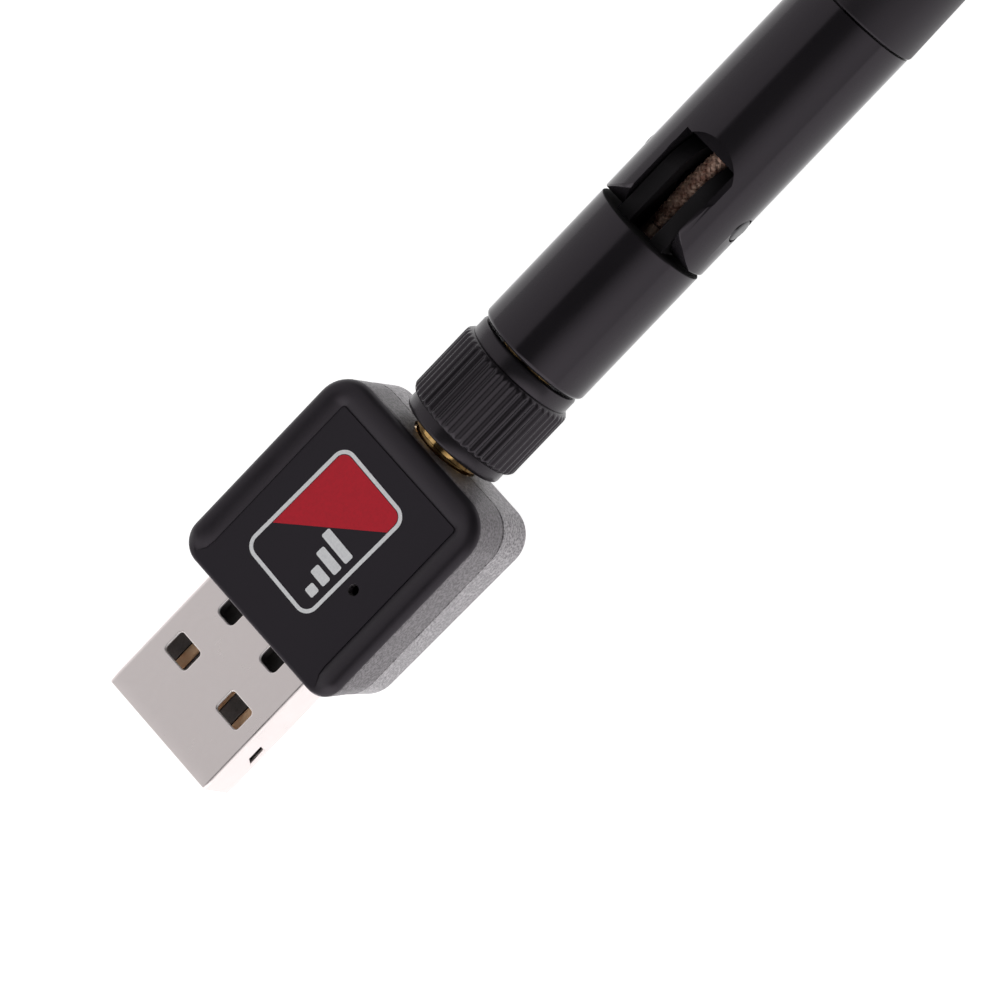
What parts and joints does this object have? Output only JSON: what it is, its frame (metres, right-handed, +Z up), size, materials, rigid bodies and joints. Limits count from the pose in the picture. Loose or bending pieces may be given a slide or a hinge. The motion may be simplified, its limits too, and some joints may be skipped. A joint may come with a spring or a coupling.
{
  "type": "usb wifi adapter",
  "caption": "Small USB network adapter with a moulded case and a screw-on whip antenna that swivels and tilts.",
  "frame": {"origin": "Under the middle of the object's length, at its lowest point, in the plane of symmetry of the case", "axes": "+X along the object from the USB plug to the antenna tip, +Z up out of the label face, +Y to the left of the label face"},
  "size_m": [0.1404, 0.018, 0.0103],
  "materials": {
    "plug_shell": "satin nickel plate",
    "plug_insulator": "matte moulded",
    "gold_plate": "gold plated",
    "brass": "turned",
    "spring_steel": "dark polished",
    "copper_braid": "dull tinned copper braid",
    "case_top": "satin panel, fine spark-textured sides",
    "case_bottom": "fine spark texture",
    "antenna_black": "semi-gloss",
    "nut_black": "semi-gloss, knurled",
    "ptfe": "matte",
    "board": "solder mask",
    "chip": "moulded epoxy",
    "ceramic": "fired ceramic",
    "can_metal": "satin",
    "light_lens": "clear",
    "silicone": "matte"
  },
  "bodies": {
    "case": {"usb_shell": "plug_shell", "usb_tongue": "plug_insulator", "usb_contact_1": "gold_plate", "usb_contact_2": "gold_plate", "usb_contact_3": "gold_plate", "usb_contact_4": "gold_plate", "housing_top": "case_top", "housing_bottom": "case_bottom", "circuit_board": "board", "wifi_chip": "chip", "crystal": "can_metal", "voltage_regulator": "chip", "power_inductor": "ceramic", "input_capacitor": "ceramic", "antenna_filter": "ceramic", "status_led": "light_lens", "jack_body": "gold_plate", "jack_insulator": "ptfe", "jack_contact": "gold_plate"},
    "connector": {"connector_body": "gold_plate", "connector_insulator": "ptfe", "connector_contact": "gold_plate", "connector_gasket": "silicone", "retaining_clip": "spring_steel"},
    "nut": {"coupling_nut": "nut_black", "nut_thread_insert": "brass"},
    "barrel": {"base_barrel": "antenna_black", "coax_lower": "copper_braid"},
    "whip": {"hinge_fork": "antenna_black", "hinge_pin_left": "spring_steel", "hinge_pin_right": "spring_steel", "coax_bend": "copper_braid", "coax_upper": "copper_braid", "choke_sleeve": "brass", "radiator": "brass", "radome": "antenna_black"}
  },
  "joints": [
    {"name": "antenna_draw", "type": "slide", "parent": "case", "child": "connector", "axis": [1, 0, 0], "range_m": [0, 0.00564]},
    {"name": "nut_turn", "type": "hinge", "parent": "connector", "child": "nut", "pos_m": [-0.0333, 0, 0.00513], "axis": [1, 0, 0], "range_deg": [0, 2880]},
    {"name": "antenna_swivel", "type": "hinge", "parent": "connector", "child": "barrel", "pos_m": [-0.028, 0, 0.00513], "axis": [1, 0, 0], "range_deg": [-180, 180]},
    {"name": "antenna_tilt", "type": "hinge", "parent": "barrel", "child": "whip", "pos_m": [-0.0105, 0, 0.00513], "axis": [0, -0.9936, -0.1132], "range_deg": [0, 90], "deforming": ["coax_bend"]}
  ],
  "couplings": [
    {"joint": "nut_turn", "follows": "antenna_draw", "rad_per_m": 8905.3}
  ]
}
